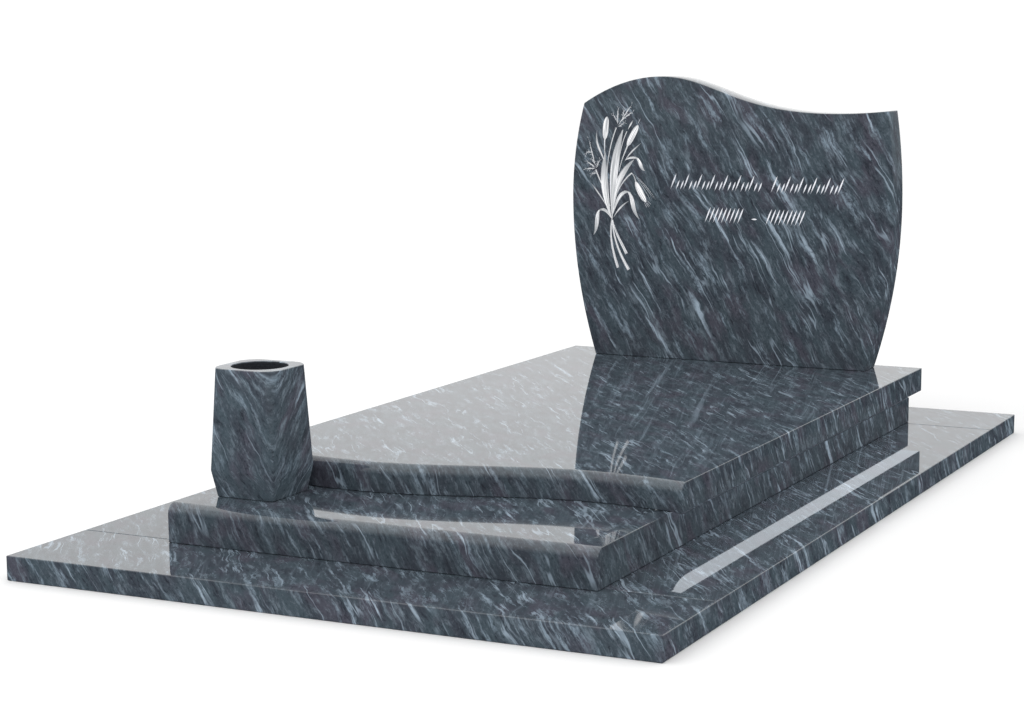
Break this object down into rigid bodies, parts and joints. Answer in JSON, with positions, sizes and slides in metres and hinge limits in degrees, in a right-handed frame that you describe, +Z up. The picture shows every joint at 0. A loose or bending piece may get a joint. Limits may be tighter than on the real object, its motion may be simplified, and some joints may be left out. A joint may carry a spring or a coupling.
{
  "type": "grave monument",
  "caption": "Polished dark granite grave monument: frame of footing slabs, plinth, ledger with a wavy front edge, wave-topped headstone with an engraved plant bouquet, and a square flower vase.",
  "frame": {"origin": "middle of the footing's underside, on the ground", "axes": "+Z up; +Y from the vase end at the front to the headstone at the back, along the grave; +X to the right of someone who stands in front"},
  "size_m": [1.4, 2.4, 0.9399],
  "materials": {
    "polished_granite": "polished",
    "vase_granite": "polished"
  },
  "bodies": {
    "root": {"footing_front": "polished_granite", "footing_back": "polished_granite", "footing_left": "polished_granite", "footing_right": "polished_granite", "plinth": "polished_granite", "ledger": "polished_granite", "headstone": "polished_granite", "vase": "vase_granite"}
  },
  "joints": []
}
